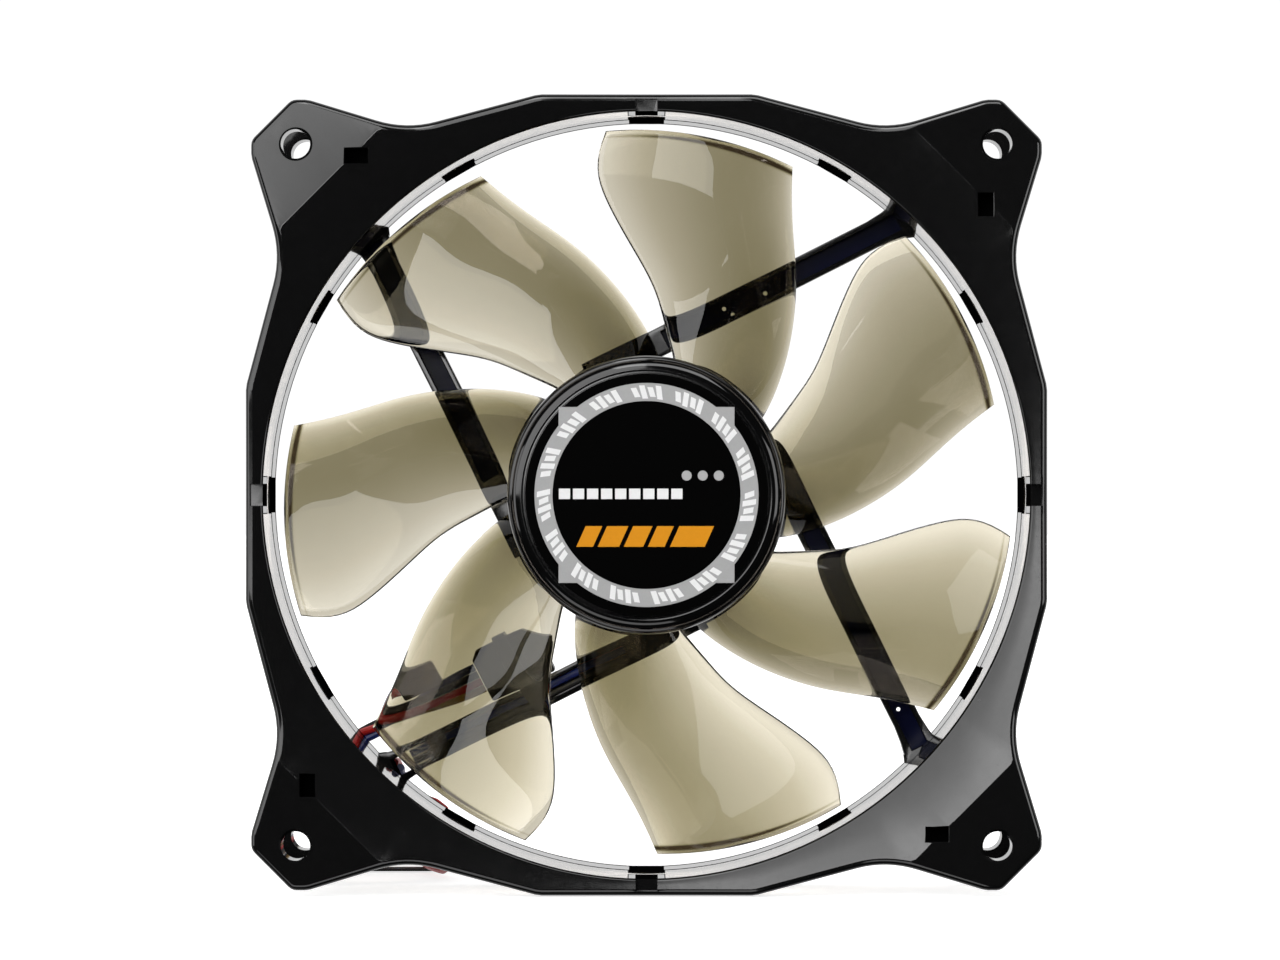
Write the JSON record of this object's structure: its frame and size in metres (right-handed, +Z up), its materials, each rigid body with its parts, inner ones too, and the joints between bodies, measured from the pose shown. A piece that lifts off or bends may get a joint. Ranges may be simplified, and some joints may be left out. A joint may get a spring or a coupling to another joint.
{
  "type": "case fan",
  "caption": "Square axial case fan: black flanges round a clear duct ring, smoky swept blades on a capped hub, channel struts, screw holes and a short lead with plugs.",
  "frame": {"origin": "middle of the fan's lower edge, on the surface that it stands on", "axes": "+X to the right seen from the intake side, +Y along the fan's axis from the intake side to the outlet side, +Z up"},
  "size_m": [0.12, 0.066, 0.12],
  "materials": {
    "black_plastic": "glossy black moulding",
    "clear_plastic": "clear moulding, slightly warm",
    "smoke_plastic": "smoky see-through moulding",
    "silver_label": "printed silver label film",
    "steel": "plain steel",
    "magnet": "bonded ferrite",
    "brass": "plain brass",
    "bronze": "oiled sintered bronze",
    "copper": "enamelled copper wire",
    "white_nylon": "white nylon",
    "black_nylon": "black nylon",
    "board": "green solder mask",
    "chip": "black moulded epoxy",
    "capacitor": "tan ceramic",
    "wire": "insulated wires, red, blue, yellow and black"
  },
  "bodies": {
    "frame": {"front_frame": "black_plastic", "duct_ring": "clear_plastic", "rear_frame": "black_plastic", "bearing_sleeve": "bronze", "bearing_tube": "brass", "thrust_pad": "white_nylon", "stator_core": "steel", "front_insulator": "white_nylon", "rear_insulator": "white_nylon", "stator_coils": "copper", "circuit_board": "board", "hall_sensor": "chip", "driver_chip": "chip", "capacitors": "capacitor", "rear_label": "silver_label", "strut_leads": "wire", "lead_clip": "black_nylon", "cable_out": "wire", "cable_hank": "wire", "cable_back": "wire", "fan_plug": "black_nylon", "speed_plug": "black_nylon", "branch_leads": "wire", "plug_terminals": "brass", "cable_tie": "black_nylon"},
    "rotor": {"impeller": "smoke_plastic", "hub_cap": "black_plastic", "hub_label": "silver_label", "rotor_yoke": "steel", "rotor_magnet": "magnet", "rotor_shaft": "steel", "shaft_bush": "brass", "retaining_clip": "black_nylon", "oil_washer": "black_nylon"}
  },
  "joints": [
    {"name": "impeller_spin", "type": "hinge", "parent": "frame", "child": "rotor", "pos_m": [0, 0, 0.06], "axis": [0, -1, 0], "continuous": true}
  ]
}
